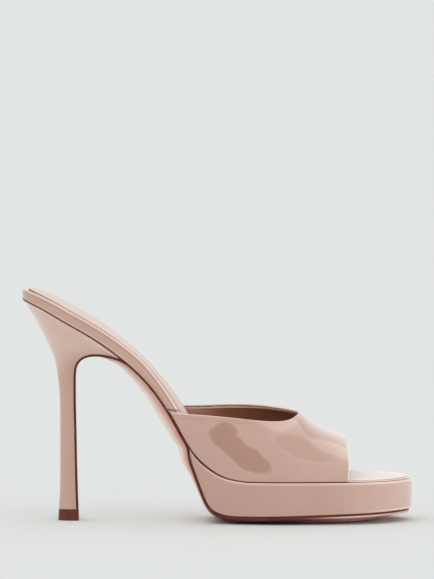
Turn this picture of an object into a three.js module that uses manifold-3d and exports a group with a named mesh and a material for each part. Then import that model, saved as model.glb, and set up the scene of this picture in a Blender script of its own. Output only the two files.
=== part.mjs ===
// Platform mule with a high slender heel: the right shoe of a pair, in millimetres.
// +X points to the toe, +Y to the medial (inner) side of the foot, +Z up, floor at Z = 0.
// Along the shoe, places are shares of shoeLength counted from the heel's back.

import * as THREE from 'three';
import Module from 'manifold-3d';
import { mergeVertices } from 'three/addons/utils/BufferGeometryUtils.js';

// Driving dimensions
const shoeLength = 214.2;
const ballWidth = 77;
const seatHeight = 122.3;
const platformHeight = 23.4;
const heelTipHeight = 5.9;
const heelTipFlare = 0.25;
const outsoleThickness = 1.9;
const treadLift = 2.4;
const toeSpring = 2.4;
const soleBelly = 5;
const insoleThickness = 6.8;
const insoleCup = 2.4;
const sockThickness = 1.4;
const sockMargin = 1.6;
const upperWall = 1.8;
const upperHeight = 36.4;
const rimWidth = 0.8;
const lipMargin = 1.1;
const platformTuck = 0.5;
const toeInset = 1.5;
const heelEndRadius = 24.5;
const toeEndRadius = 38;
const clearance = 0.3;
const bendEase = 3.5;

// Fullness of rounded forms: 2 is an ellipse, more is squarer
const bellyFullness = 2.5;
const vampFullness = 2.35;

// How finely the curved forms are cut into flat faces
const longestFacet = 7;
const sharpestTurn = 0.2;
const endStep = 0.2;

// Underside of the insole seen from the side: rise is the share of the climb from platform top to seat
const boardLine = [
  { along: 0.0000, rise: 1.0000 },
  { along: 0.0500, rise: 0.9525 },
  { along: 0.1118, rise: 0.8770 },
  { along: 0.1736, rise: 0.8005 },
  { along: 0.2354, rise: 0.7120 },
  { along: 0.2869, rise: 0.6240 },
  { along: 0.3266, rise: 0.5356 },
  { along: 0.3650, rise: 0.4246 },
  { along: 0.3949, rise: 0.3135 },
  { along: 0.4230, rise: 0.2043 },
  { along: 0.4464, rise: 0.1310 },
  { along: 0.4722, rise: 0.0800 },
  { along: 0.5031, rise: 0.0360 },
  { along: 0.5339, rise: 0.0130 },
  { along: 0.5854, rise: 0.0000 },
  { along: 1.0000, rise: 0.0000 },
];

// Plan of the shoe: half width and sideways swing as shares of ballWidth, belly of the board as a share
// of soleBelly, cup, insole and sock as shares of insoleCup, insoleThickness and sockThickness, tuck as a
// share of the way in that the insole stands inside the upper
const plan = [
  { along: 0.0000, half: 0.326, swing: 0.000, belly: 0.00, cup: 0.30, insole: 0.93, sock: 1.00, tuck: 0.00 },
  { along: 0.1196, half: 0.328, swing: 0.000, belly: 0.00, cup: 0.60, insole: 1.00, sock: 1.00, tuck: 0.00 },
  { along: 0.1894, half: 0.326, swing: -0.002, belly: 0.06, cup: 0.75, insole: 1.00, sock: 0.85, tuck: 0.10 },
  { along: 0.2392, half: 0.312, swing: -0.006, belly: 0.60, cup: 0.85, insole: 1.00, sock: 0.42, tuck: 0.30 },
  { along: 0.2891, half: 0.293, swing: -0.014, belly: 0.90, cup: 0.95, insole: 0.97, sock: 0.45, tuck: 0.60 },
  { along: 0.3389, half: 0.284, swing: -0.024, belly: 0.96, cup: 1.00, insole: 0.87, sock: 0.72, tuck: 0.90 },
  { along: 0.3788, half: 0.286, swing: -0.032, belly: 1.06, cup: 1.00, insole: 0.83, sock: 1.20, tuck: 1.00 },
  { along: 0.4286, half: 0.300, swing: -0.038, belly: 1.02, cup: 0.85, insole: 0.73, sock: 1.45, tuck: 1.00 },
  { along: 0.4784, half: 0.335, swing: -0.041, belly: 0.36, cup: 0.60, insole: 0.57, sock: 1.20, tuck: 1.00 },
  { along: 0.5382, half: 0.392, swing: -0.038, belly: 0.00, cup: 0.35, insole: 0.43, sock: 0.85, tuck: 1.00 },
  { along: 0.6080, half: 0.452, swing: -0.026, belly: 0.00, cup: 0.20, insole: 0.31, sock: 0.62, tuck: 1.00 },
  { along: 0.6778, half: 0.486, swing: -0.010, belly: 0.00, cup: 0.10, insole: 0.22, sock: 0.48, tuck: 1.00 },
  { along: 0.7475, half: 0.495, swing: 0.008, belly: 0.00, cup: 0.00, insole: 0.16, sock: 0.40, tuck: 1.00 },
  { along: 0.8173, half: 0.490, swing: 0.024, belly: 0.00, cup: 0.00, insole: 0.11, sock: 0.36, tuck: 1.00 },
  { along: 0.8472, half: 0.488, swing: 0.030, belly: 0.00, cup: 0.00, insole: 0.09, sock: 0.36, tuck: 1.00 },
  { along: 0.8771, half: 0.486, swing: 0.036, belly: 0.00, cup: 0.00, insole: 0.09, sock: 0.36, tuck: 0.00 },
  { along: 1.0000, half: 0.482, swing: 0.050, belly: 0.00, cup: 0.00, insole: 0.09, sock: 0.36, tuck: 0.00 },
];

// Heel sections from the tip up: front height is a share of the way from the tip to the board above it,
// back height of the way from the tip to the seat, half a share of ballWidth, and round the share of the
// section's depth that its rounded back takes
const heelSections = [
  { front: 0.1385, height: 0.000, half: 0.0755, back: 0.0927, backHeight: 0.000, round: 0.62 },
  { front: 0.1367, height: 0.106, half: 0.0690, back: 0.0955, backHeight: 0.095, round: 0.62 },
  { front: 0.1348, height: 0.270, half: 0.0645, back: 0.0964, backHeight: 0.237, round: 0.62 },
  { front: 0.1334, height: 0.431, half: 0.0645, back: 0.0964, backHeight: 0.380, round: 0.62 },
  { front: 0.1318, height: 0.596, half: 0.0690, back: 0.0955, backHeight: 0.522, round: 0.62 },
  { front: 0.1317, height: 0.706, half: 0.0820, back: 0.0912, backHeight: 0.615, round: 0.60 },
  { front: 0.1329, height: 0.762, half: 0.0980, back: 0.0863, backHeight: 0.682, round: 0.58 },
  { front: 0.1382, height: 0.804, half: 0.1260, back: 0.0781, backHeight: 0.734, round: 0.55 },
  { front: 0.1516, height: 0.848, half: 0.1640, back: 0.0651, backHeight: 0.788, round: 0.52 },
  { front: 0.1698, height: 0.886, half: 0.2040, back: 0.0491, backHeight: 0.846, round: 0.50 },
  { front: 0.1909, height: 0.918, half: 0.2370, back: 0.0342, backHeight: 0.897, round: 0.48 },
  { front: 0.2157, height: 0.948, half: 0.2680, back: 0.0186, backHeight: 0.943, round: 0.46 },
  { front: 0.2386, height: 0.974, half: 0.2900, back: 0.0094, backHeight: 0.973, round: 0.45 },
  { front: 0.2476, height: 0.984, half: 0.3000, back: 0.0028, backHeight: 0.994, round: 0.45 },
];

// Rear wall and tread line of the platform, where the outsole meets it: drop is the share of the way from
// the tread up to the point where the wall leaves the board, spring a share of toeSpring
const platformLine = [
  { along: 0.4329, drop: 0.813, spring: 0.00, belly: 0.92 },
  { along: 0.4418, drop: 0.668, spring: 0.00, belly: 0.68 },
  { along: 0.4511, drop: 0.521, spring: 0.00, belly: 0.52 },
  { along: 0.4605, drop: 0.377, spring: 0.00, belly: 0.44 },
  { along: 0.4709, drop: 0.230, spring: 0.00, belly: 0.50 },
  { along: 0.4779, drop: 0.148, spring: 0.00, belly: 0.58 },
  { along: 0.4899, drop: 0.076, spring: 0.00, belly: 0.62 },
  { along: 0.5103, drop: 0.026, spring: 0.00, belly: 0.64 },
  { along: 0.5482, drop: 0.000, spring: 0.00, belly: 0.64 },
  { along: 0.6111, drop: 0.000, spring: 0.02, belly: 0.66 },
  { along: 0.7141, drop: 0.000, spring: 0.25, belly: 0.78 },
  { along: 0.8170, drop: 0.000, spring: 0.52, belly: 0.90 },
  { along: 0.9200, drop: 0.000, spring: 0.82, belly: 0.78 },
  { along: 0.9714, drop: 0.000, spring: 0.97, belly: 0.66 },
  { along: 1.0000, drop: 0.000, spring: 1.00, belly: 0.60 },
];
const waistStart = 0.2691;
const waistEnd = 0.4272;
const waistRows = 14;

// Outsole thickness along its length, as a share of outsoleThickness at the tread
const outsoleWeights = [
  { place: 'flap', weight: 0.62 },
  { place: 'waist', weight: 0.68 },
  { place: 'rear wall', weight: 0.88 },
  { place: 'tread', weight: 1.0 },
];

// Upper seen from the side: heights are shares of upperHeight above the platform's top
const ridgeLine = [
  { along: 0.3688, height: 2.263 },
  { along: 0.4984, height: 1.622 },
  { along: 0.5980, height: 1.219 },
  { along: 0.6678, height: 1.072 },
  { along: 0.7104, height: 1.000 },
  { along: 0.7450, height: 0.847 },
  { along: 0.7655, height: 0.782 },
  { along: 0.7861, height: 0.730 },
  { along: 0.8057, height: 0.684 },
  { along: 0.8259, height: 0.639 },
  { along: 0.8572, height: 0.553 },
];
const lateralTopline = [
  { along: 0.3688, height: 1.077 },
  { along: 0.4258, height: 1.018 },
  { along: 0.4567, height: 1.004 },
  { along: 0.5339, height: 0.967 },
  { along: 0.6111, height: 0.920 },
  { along: 0.6479, height: 0.906 },
  { along: 0.6728, height: 0.911 },
  { along: 0.6935, height: 0.940 },
  { along: 0.7104, height: 1.000 },
];
const medialTopline = [
  { along: 0.3688, height: 1.072 },
  { along: 0.4567, height: 1.075 },
  { along: 0.5339, height: 1.102 },
  { along: 0.5727, height: 1.104 },
  { along: 0.6111, height: 1.096 },
  { along: 0.6552, height: 1.064 },
  { along: 0.6883, height: 1.030 },
  { along: 0.7104, height: 1.000 },
];
const frontEdge = [
  { climb: 0.00, along: 0.8318 },
  { climb: 0.20, along: 0.8337 },
  { climb: 0.47, along: 0.8352 },
  { climb: 0.66, along: 0.8345 },
  { climb: 0.90, along: 0.8318 },
  { climb: 1.00, along: 0.8262 },
];
const throat = 0.7104;

// Smooth line through a table's rows that never overshoots them
function curveThrough(keys, values) {
  const last = keys.length - 1;
  const slopes = values.slice(1).map((value, i) => (value - values[i]) / (keys[i + 1] - keys[i]));
  const tangents = values.map((value, i) => {
    if (i === 0) return slopes[0];
    if (i === last) return slopes[last - 1];
    const before = slopes[i - 1];
    const after = slopes[i];
    if (before * after <= 0) return 0;
    const widthBefore = keys[i] - keys[i - 1];
    const widthAfter = keys[i + 1] - keys[i];
    const total = 3 * (widthBefore + widthAfter);
    return total / ((widthBefore + 2 * widthAfter) / after + (2 * widthBefore + widthAfter) / before);
  });
  return (key) => {
    const clamped = Math.min(Math.max(key, keys[0]), keys[last]);
    let i = 0;
    while (i < last - 1 && keys[i + 1] < clamped) i += 1;
    const width = keys[i + 1] - keys[i];
    const t = (clamped - keys[i]) / width;
    const rest = 1 - t;
    return values[i] * (1 + 2 * t) * rest * rest + tangents[i] * width * t * rest * rest
      + values[i + 1] * t * t * (3 - 2 * t) - tangents[i + 1] * width * t * t * rest;
  };
}

// One such line for a column of a table
function column(table, key, value) {
  return curveThrough(table.map((row) => row[key]), table.map((row) => row[value]));
}

const boardRise = column(boardLine, 'along', 'rise');
const planHalf = column(plan, 'along', 'half');
const planSwing = column(plan, 'along', 'swing');
const planBelly = column(plan, 'along', 'belly');
const planCup = column(plan, 'along', 'cup');
const planInsole = column(plan, 'along', 'insole');
const planSock = column(plan, 'along', 'sock');
const planTuck = column(plan, 'along', 'tuck');

const boardHeight = (along) => platformHeight + boardRise(along) * (seatHeight - platformHeight);

// How far a rounded end has opened at a distance from its tip: 0 at the tip, 1 once it is full
function roundedEnd(distance, radius) {
  const inside = Math.max(0, 1 - Math.max(distance, 0) / radius);
  return Math.sqrt(1 - inside * inside);
}

function endOpening(x) {
  return roundedEnd(x, heelEndRadius) * roundedEnd(shoeLength - x, toeEndRadius);
}

// Sag of a curved underside at a share of its half width, level with the edge at the edge itself
function sag(depth, opening, across) {
  return depth * Math.max(0, opening ** bellyFullness - Math.abs(across) ** bellyFullness);
}

// A station on the board line at x: its place, its upward normal and the board's shape there.
// The normal stands upright at the very back, so that the insole's end is vertical.
function boardStation(x) {
  const along = x / shoeLength;
  const step = 0.0005;
  const slope = (boardHeight(along + step) - boardHeight(along - step)) / (2 * step * shoeLength);
  const lean = slope * Math.min(1, Math.max(0, x) / heelEndRadius);
  const length = Math.hypot(1, lean);
  return {
    x,
    z: boardHeight(along),
    nx: -lean / length,
    nz: 1 / length,
    heading: Math.atan(slope),
    full: planHalf(along) * ballWidth,
    opening: endOpening(x),
    swing: planSwing(along) * ballWidth,
    belly: planBelly(along) * soleBelly,
    cup: planCup(along) * insoleCup,
    insole: planInsole(along) * insoleThickness,
    sock: planSock(along) * sockThickness,
  };
}

// The line where the outsole meets the heel's breast, the board and the platform, from the heel tip forward
function soleRows() {
  const tipTop = heelTipHeight + clearance;
  const vertex = boardHeight(waistEnd);
  const treadLine = clearance + outsoleThickness + treadLift;
  const weight = (place) => outsoleWeights.find((row) => row.place === place).weight;
  const breast = heelSections.map((row) => ({
    x: row.front * shoeLength,
    z: tipTop + row.height * (boardHeight(row.front) - tipTop),
    full: row.half * ballWidth,
    swing: planSwing(row.front) * ballWidth,
    belly: planBelly(row.front) * soleBelly,
    weight: weight('flap'),
  }));
  const waist = Array.from({ length: waistRows }, (unused, i) => {
    const along = waistStart + ((waistEnd - waistStart) * i) / (waistRows - 1);
    return {
      x: along * shoeLength,
      z: boardHeight(along),
      full: planHalf(along) * ballWidth - rimWidth,
      swing: planSwing(along) * ballWidth,
      belly: planBelly(along) * soleBelly,
      weight: weight('waist'),
    };
  });
  const platform = platformLine.map((row) => ({
    x: row.along * shoeLength,
    z: treadLine + row.drop * (vertex - treadLine) + row.spring * toeSpring,
    full: planHalf(row.along) * ballWidth - platformTuck,
    swing: planSwing(row.along) * ballWidth,
    belly: row.belly * soleBelly,
    weight: row.drop > 0 ? weight('rear wall') : weight('tread'),
  }));
  return [...breast, ...waist, ...platform];
}

// The sole line as a curve by its own length, with every column of its rows
function soleCurve() {
  const rows = soleRows();
  const lengths = [0];
  for (let i = 1; i < rows.length; i += 1) {
    lengths.push(lengths[i - 1] + Math.hypot(rows[i].x - rows[i - 1].x, rows[i].z - rows[i - 1].z));
  }
  const names = ['x', 'z', 'full', 'swing', 'belly', 'weight'];
  const lines = names.map((name) => curveThrough(lengths, rows.map((row) => row[name])));
  const breastEnd = lengths[heelSections.length - 1];
  const waistEndLength = lengths[heelSections.length + waistRows - 1];
  const total = lengths[lengths.length - 1];
  const eased = (line, place) => {
    const reach = Math.min(bendEase, place, total - place);
    const samples = [-1, -0.6, -0.2, 0.2, 0.6, 1].map((share) => line(place + share * reach));
    return samples.reduce((sum, value) => sum + value, 0) / samples.length;
  };
  const at = (place, inset = 0) => {
    const row = Object.fromEntries(names.map((name, i) => [name, eased(lines[i], place)]));
    const reach = 0.2;
    const from = Math.max(place - reach, 0);
    const to = Math.min(place + reach, total);
    const dx = eased(lines[0], to) - eased(lines[0], from);
    const dz = eased(lines[1], to) - eased(lines[1], from);
    const length = Math.hypot(dx, dz);
    const toeOpening = roundedEnd(shoeLength - inset - row.x, toeEndRadius - inset);
    const opening = place > waistEndLength ? toeOpening : 1;
    return { ...row, place, nx: -dz / length, nz: dx / length, heading: Math.atan2(dz, dx), opening };
  };
  const back = {
    x: curveThrough(lengths.slice(0, heelSections.length), heelSections.map((row) => row.back * shoeLength)),
    z: curveThrough(lengths.slice(0, heelSections.length), heelSections.map(
      (row) => heelTipHeight + clearance + row.backHeight * (seatHeight - heelTipHeight - clearance))),
    round: curveThrough(lengths.slice(0, heelSections.length), heelSections.map((row) => row.round)),
  };
  return { at, back, breastEnd, waistEnd: waistEndLength, total };
}

// Stations set wherever the line has run or turned far enough since the last one
function paceOut(at, start, end) {
  const fine = 0.25;
  const stations = [at(start)];
  let ran = 0;
  let turned = 0;
  let before = stations[0];
  for (let place = start + fine; place < end - fine / 2; place += fine) {
    const here = at(place);
    ran += Math.hypot(here.x - before.x, here.z - before.z);
    turned += Math.abs(here.heading - before.heading);
    turned += Math.abs(planHeading(at, place + fine, fine) - planHeading(at, place, fine));
    before = here;
    if (ran < longestFacet && turned < sharpestTurn) continue;
    stations.push(here);
    ran = 0;
    turned = 0;
  }
  stations.push(at(end));
  return stations;
}

function planHeading(at, place, step) {
  const here = at(place);
  const before = at(place - step);
  return Math.atan2(here.full * here.opening - before.full * before.opening, step);
}

// Shares of the half width at which a sheet is cut, closer together at its edges
function acrossShares(count) {
  return Array.from({ length: count }, (unused, i) => Math.sin((Math.PI / 2) * ((2 * i) / (count - 1) - 1)));
}

// A row of points across a station, moved out along its normal
function rowAcross(station, shares, half, lift) {
  return shares.map((share) => {
    const away = lift(share);
    return [
      station.x + station.nx * away,
      station.swing + share * half,
      station.z + station.nz * away,
    ];
  });
}

// Closed solid between two sheets of points that share their rows and columns
function slab(under, over) {
  const rows = under.length;
  const columns = under[0].length;
  const positions = [...under.flat(), ...over.flat()].flat();
  const low = (i, j) => i * columns + j;
  const high = (i, j) => (rows + i) * columns + j;
  const indices = [];
  const quad = (a, b, c, d) => indices.push(a, b, c, a, c, d);
  for (let i = 0; i < rows - 1; i += 1) {
    for (let j = 0; j < columns - 1; j += 1) {
      quad(high(i, j), high(i + 1, j), high(i + 1, j + 1), high(i, j + 1));
      quad(low(i, j), low(i, j + 1), low(i + 1, j + 1), low(i + 1, j));
    }
    quad(low(i, 0), low(i + 1, 0), high(i + 1, 0), high(i, 0));
    quad(low(i, columns - 1), high(i, columns - 1), high(i + 1, columns - 1), low(i + 1, columns - 1));
  }
  for (let j = 0; j < columns - 1; j += 1) {
    quad(low(0, j), high(0, j), high(0, j + 1), low(0, j + 1));
    quad(low(rows - 1, j), low(rows - 1, j + 1), high(rows - 1, j + 1), high(rows - 1, j));
  }
  return closedGeometry(positions, indices);
}

// Closed solid through a stack of loops of equal length, with a fan over each end
function loft(loops) {
  const count = loops[0].length;
  const positions = loops.flat().flat();
  const indices = [];
  for (let i = 0; i < loops.length - 1; i += 1) {
    for (let j = 0; j < count; j += 1) {
      const next = (j + 1) % count;
      const a = i * count + j;
      const b = i * count + next;
      indices.push(a, b, b + count, a, b + count, a + count);
    }
  }
  [loops[0], loops[loops.length - 1]].forEach((loop, end) => {
    const centre = positions.length / 3;
    const sum = loop.reduce((total, point) => total.map((value, k) => value + point[k]), [0, 0, 0]);
    positions.push(...sum.map((value) => value / count));
    const first = end === 0 ? 0 : (loops.length - 1) * count;
    for (let j = 0; j < count; j += 1) {
      const a = first + j;
      const b = first + ((j + 1) % count);
      indices.push(...(end === 0 ? [centre, b, a] : [centre, a, b]));
    }
  });
  return closedGeometry(positions, indices);
}

function closedGeometry(positions, indices) {
  const geometry = new THREE.BufferGeometry();
  geometry.setAttribute('position', new THREE.Float32BufferAttribute(positions, 3));
  geometry.setIndex(indices);
  return geometry;
}

const wasm = await Module();
wasm.setup();

// First geometry with the second cut away
function cutAway(geometry, cutter) {
  const [body, tool] = [geometry, cutter].map((source) => {
    const merged = mergeVertices(source);
    return new wasm.Manifold(new wasm.Mesh({
      numProp: 3,
      vertProperties: new Float32Array(merged.attributes.position.array),
      triVerts: new Uint32Array(merged.index.array),
    }));
  });
  const mesh = body.subtract(tool).getMesh();
  return closedGeometry(Array.from(mesh.vertProperties), Array.from(mesh.triVerts));
}

const sole = soleCurve();
const soleStations = paceOut(sole.at, 0, sole.total - endStep);
const outsoleAt = (place) => sole.at(place, toeInset);
const outsoleStations = paceOut(outsoleAt, 0, sole.total - toeInset - endStep);

// Thin outsole: flap down the heel's breast, arch, waist, rear wall of the platform and tread
function outsoleGeometry() {
  const shares = acrossShares(9);
  const sheet = (depth) => outsoleStations.map((station) => {
    const half = station.full * station.opening;
    const lift = (share) => -depth(station) - sag(station.belly, station.opening, share * station.opening);
    return rowAcross(station, shares, half, lift);
  });
  const over = sheet(() => clearance);
  const under = sheet((station) => clearance + station.weight * outsoleThickness);
  const flattened = under.map((row) => row.map(([x, y, z]) => [x, y, Math.max(z, 0)]));
  return slab(flattened, over);
}

// Platform between the outsole and the insole, its rear wall drawn out to a thin edge
function platformGeometry() {
  const thinEdge = 1.6;
  const shares = acrossShares(9);
  const boardAbove = (station) => boardHeight(station.x / shoeLength) - station.z;
  const stations = soleStations.filter((station) => station.place > sole.waistEnd
    && boardAbove(station) > thinEdge);
  const under = stations.map((station) => rowAcross(station, shares, station.full * station.opening,
    (share) => -sag(station.belly, station.opening, share * station.opening)));
  const over = stations.map((station) => {
    const board = boardStation(station.x);
    const rim = { ...board, x: station.x, nx: 0, nz: 1 };
    return rowAcross(rim, shares, board.full * station.opening,
      (share) => -(clearance + sag(board.belly, station.opening, share * station.opening)) / board.nz);
  });
  return slab(under, over);
}

// How far the insole's edge stands in from the plan outline
function insoleMargin(along) {
  const insideUpper = rimWidth + upperWall + clearance;
  const tuck = planTuck(along);
  const open = along > throat ? lipMargin : 0;
  return tuck * insideUpper + (1 - tuck) * open;
}

function insoleStations(extraMargin) {
  const endMargin = lipMargin + extraMargin;
  const at = (x) => {
    const station = boardStation(x);
    const opening = roundedEnd(x - extraMargin, heelEndRadius - extraMargin)
      * roundedEnd(shoeLength - endMargin - x, toeEndRadius - endMargin);
    const full = station.full - insoleMargin(x / shoeLength) - extraMargin;
    return { ...station, full, opening };
  };
  return paceOut(at, extraMargin + endStep, shoeLength - endMargin - endStep);
}

function insoleTop(station, share, above) {
  return station.insole + above - sag(station.cup, station.opening, share * station.opening);
}

// Covered insole board, whose edge shows as the band under the foot
function insoleGeometry() {
  const shares = acrossShares(9);
  const stations = insoleStations(0);
  const sheet = (lift) => stations.map((station) => rowAcross(station, shares,
    station.full * station.opening, (share) => lift(station, share)));
  const under = sheet((station, share) => -sag(station.belly, station.opening, share * station.opening));
  const over = sheet((station, share) => insoleTop(station, share, 0));
  return slab(under, over);
}

// Soft lining sheet on top of the insole
function sockGeometry() {
  const shares = acrossShares(7);
  const stations = insoleStations(sockMargin);
  const sheet = (above) => stations.map((station) => rowAcross(station, shares,
    station.full * station.opening, (share) => insoleTop(station, share, above(station))));
  return slab(sheet(() => clearance), sheet((station) => clearance + station.sock));
}

// D-shaped loop of a heel section: straight across the front, rounded at the back
function heelLoop(station, back, raise) {
  const frontShares = acrossShares(7);
  const sideShares = [0.85, 0.7];
  const roundSteps = 6;
  const point = (depth, y) => [
    station.x + (back.x - station.x) * depth,
    station.swing + y,
    station.z + (back.z - station.z) * depth + raise,
  ];
  const front = frontShares.map((share) => {
    const away = -sag(station.belly, 1, share);
    return [
      station.x + station.nx * away,
      station.swing + share * station.full,
      station.z + station.nz * away + raise,
    ];
  });
  const side = [
    ...sideShares.map((share) => ({ depth: 1 - back.round - share * (1 - back.round), width: 1 })),
    ...Array.from({ length: roundSteps }, (unused, i) => {
      const turn = ((Math.PI / 2) * i) / roundSteps;
      return { depth: 1 - back.round * (1 - Math.sin(turn)), width: Math.cos(turn) };
    }),
  ];
  const medial = side.map(({ depth, width }) => point(depth, width * station.full));
  const lateral = side.map(({ depth, width }) => point(depth, -width * station.full)).reverse();
  return [...front, ...medial, point(1, 0), ...lateral];
}

// Covered heel, cut to the underside of the insole
function heelGeometry() {
  const stations = soleStations.filter((station) => station.place < sole.breastEnd);
  stations.push(sole.at(sole.breastEnd));
  const backAt = (station) => ({
    x: sole.back.x(station.place),
    z: sole.back.z(station.place),
    round: sole.back.round(station.place),
  });
  const loops = stations.map((station) => heelLoop(station, backAt(station), 0));
  const last = stations[stations.length - 1];
  const aboveBoard = insoleThickness;
  loops.push(heelLoop(last, backAt(last), aboveBoard));
  return cutAway(loft(loops), boardCutter(aboveBoard * 2));
}

// Block that fills the space above the insole's underside along the heel seat
function boardCutter(thickness) {
  const overhang = 8;
  const reach = waistStart * shoeLength;
  const steps = 24;
  const columns = 17;
  const half = ballWidth / 2;
  const under = [];
  const over = [];
  for (let i = 0; i <= steps; i += 1) {
    const x = -overhang + ((reach + overhang) * i) / steps;
    const station = boardStation(Math.max(x, endStep));
    const extra = Math.min(x, 0) * Math.tan(station.heading);
    const row = (lift) => Array.from({ length: columns }, (unused, j) => {
      const y = half * ((2 * j) / (columns - 1) - 1);
      const away = lift(y / station.full);
      return [x + station.nx * away, y, station.z + extra + station.nz * away];
    });
    under.push(row((share) => -clearance - sag(station.belly, station.opening, share)));
    over.push(row(() => thickness));
  }
  return slab(under, over);
}

// Hard tip under the heel, a little wider where it meets the floor
function heelTipGeometry() {
  const station = sole.at(0);
  const back = { x: sole.back.x(0), z: station.z, round: sole.back.round(0) };
  const flap = clearance + station.weight * outsoleThickness;
  const loopAt = (z, flare) => heelLoop(
    { ...station, x: station.x + flap + flare, z, full: station.full + flare },
    { ...back, x: back.x - flare, z }, 0);
  return loft([loopAt(0, heelTipFlare), loopAt(heelTipHeight, 0)]);
}

const upperBase = (along) => boardHeight(along);
const ridgeHeight = column(ridgeLine, 'along', 'height');
const lateralHeight = column(lateralTopline, 'along', 'height');
const medialHeight = column(medialTopline, 'along', 'height');
const frontAlong = column(frontEdge, 'climb', 'along');

// Point of the last's surface at a share along the shoe and an angle from the lateral to the medial seam
function lastPoint(along, angle) {
  const station = boardStation(along * shoeLength);
  const base = upperBase(along);
  const half = station.full * station.opening - rimWidth;
  const climb = Math.abs(Math.sin(angle)) ** (2 / vampFullness);
  const spread = Math.sign(Math.cos(angle)) * Math.abs(Math.cos(angle)) ** (2 / vampFullness);
  const ridge = platformHeight + ridgeHeight(along) * upperHeight;
  return new THREE.Vector3(along * shoeLength, station.swing - spread * half, base + climb * (ridge - base));
}

// Where the string at an angle meets the topline, found by halving between seam corner and throat
function toplineAlong(angle) {
  const line = angle < Math.PI / 2 ? lateralHeight : medialHeight;
  let near = lateralTopline[0].along;
  let far = throat;
  for (let i = 0; i < 40; i += 1) {
    const middle = (near + far) / 2;
    const topline = platformHeight + line(middle) * upperHeight;
    if (lastPoint(middle, angle).z > topline) near = middle;
    else far = middle;
  }
  return (near + far) / 2;
}

// The last's outward normal, from two small steps over its surface
function lastNormal(along, angle) {
  const step = 0.002;
  const turn = 0.01;
  const lengthwise = lastPoint(along + step, angle).sub(lastPoint(along - step, angle));
  const inAngle = Math.min(Math.max(angle, turn), Math.PI - turn);
  const crosswise = lastPoint(along, inAngle + turn).sub(lastPoint(along, inAngle - turn));
  return lengthwise.cross(crosswise).normalize();
}

// Vamp of the upper: one wall from lateral seam over the ridge to medial seam, open at topline and toe
function upperGeometry() {
  const strings = 20;
  const steps = 26;
  const rearCrowding = 1.35;
  const outer = [];
  const inner = [];
  for (let j = 0; j <= strings; j += 1) {
    const angle = (Math.PI * j) / strings;
    const rear = toplineAlong(Math.min(Math.max(angle, 1e-6), Math.PI - 1e-6));
    const front = frontAlong(Math.sin(angle) ** (2 / vampFullness));
    const onSeam = j === 0 || j === strings;
    const outerRow = [];
    const innerRow = [];
    for (let i = 0; i <= steps; i += 1) {
      const along = rear + (front - rear) * (i / steps) ** rearCrowding;
      const skin = lastPoint(along, angle);
      const normal = onSeam ? new THREE.Vector3(0, Math.sign(angle - 1), 0) : lastNormal(along, angle);
      outerRow.push(skin.toArray());
      innerRow.push(skin.clone().addScaledVector(normal, -upperWall).toArray());
    }
    outer.push(outerRow);
    inner.push(innerRow);
  }
  return slab(outer, inner);
}

// Colours of the finished pieces
const patent = new THREE.MeshStandardMaterial({ color: 0xc9a699, roughness: 0.15, metalness: 0 });
const lining = new THREE.MeshStandardMaterial({ color: 0xe6cfc4, roughness: 0.6, metalness: 0 });
const soleLeather = new THREE.MeshStandardMaterial({ color: 0x7c4438, roughness: 0.5, metalness: 0 });
const tipPlastic = new THREE.MeshStandardMaterial({ color: 0x7d4f38, roughness: 0.45, metalness: 0 });

const pieces = [
  ['upper', upperGeometry(), patent],
  ['platform', platformGeometry(), patent],
  ['insole', insoleGeometry(), patent],
  ['sock', sockGeometry(), lining],
  ['outsole', outsoleGeometry(), soleLeather],
  ['heel', heelGeometry(), patent],
  ['heel_tip', heelTipGeometry(), tipPlastic],
];

const shoe = new THREE.Group();
pieces.forEach(([name, geometry, material]) => {
  const mesh = new THREE.Mesh(geometry, material);
  mesh.name = name;
  shoe.add(mesh);
});

// The origin is under the middle of the shoe, on the floor
const box = new THREE.Box3().setFromObject(shoe);
const centre = box.getCenter(new THREE.Vector3());
shoe.children.forEach((mesh) => mesh.position.set(-centre.x, -centre.y, -box.min.z));

export default shoe;
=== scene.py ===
# Platform mule in pink patent leather, the right shoe of a pair: meshes, finishes, camera, light, floor
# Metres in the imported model's frame: +X to the toe, +Y to the medial side, floor at Z = 0.
# Places along the shoe are shares of its length from the back of the heel.
import math

import bmesh
import bpy
import numpy as np
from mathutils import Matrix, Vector


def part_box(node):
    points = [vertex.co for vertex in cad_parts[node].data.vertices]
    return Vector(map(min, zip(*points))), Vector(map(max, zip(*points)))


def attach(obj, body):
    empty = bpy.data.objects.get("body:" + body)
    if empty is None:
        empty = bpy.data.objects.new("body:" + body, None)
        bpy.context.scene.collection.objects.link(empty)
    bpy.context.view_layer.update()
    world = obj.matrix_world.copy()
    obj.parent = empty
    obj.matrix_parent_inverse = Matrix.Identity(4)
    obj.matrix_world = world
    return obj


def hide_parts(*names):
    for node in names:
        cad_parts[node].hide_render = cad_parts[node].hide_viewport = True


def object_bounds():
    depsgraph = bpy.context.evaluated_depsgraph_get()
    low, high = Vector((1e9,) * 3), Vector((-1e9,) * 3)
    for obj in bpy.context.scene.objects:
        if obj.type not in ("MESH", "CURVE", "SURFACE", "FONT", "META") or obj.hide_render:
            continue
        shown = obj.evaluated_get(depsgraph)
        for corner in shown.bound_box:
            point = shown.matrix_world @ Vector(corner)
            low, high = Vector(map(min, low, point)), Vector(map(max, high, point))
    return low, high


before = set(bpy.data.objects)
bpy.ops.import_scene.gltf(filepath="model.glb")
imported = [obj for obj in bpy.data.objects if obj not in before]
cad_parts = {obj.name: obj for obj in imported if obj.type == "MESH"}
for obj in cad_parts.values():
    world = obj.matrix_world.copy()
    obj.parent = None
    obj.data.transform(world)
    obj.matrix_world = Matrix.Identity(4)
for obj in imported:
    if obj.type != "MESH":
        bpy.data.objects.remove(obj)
cadLow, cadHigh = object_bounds()

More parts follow.
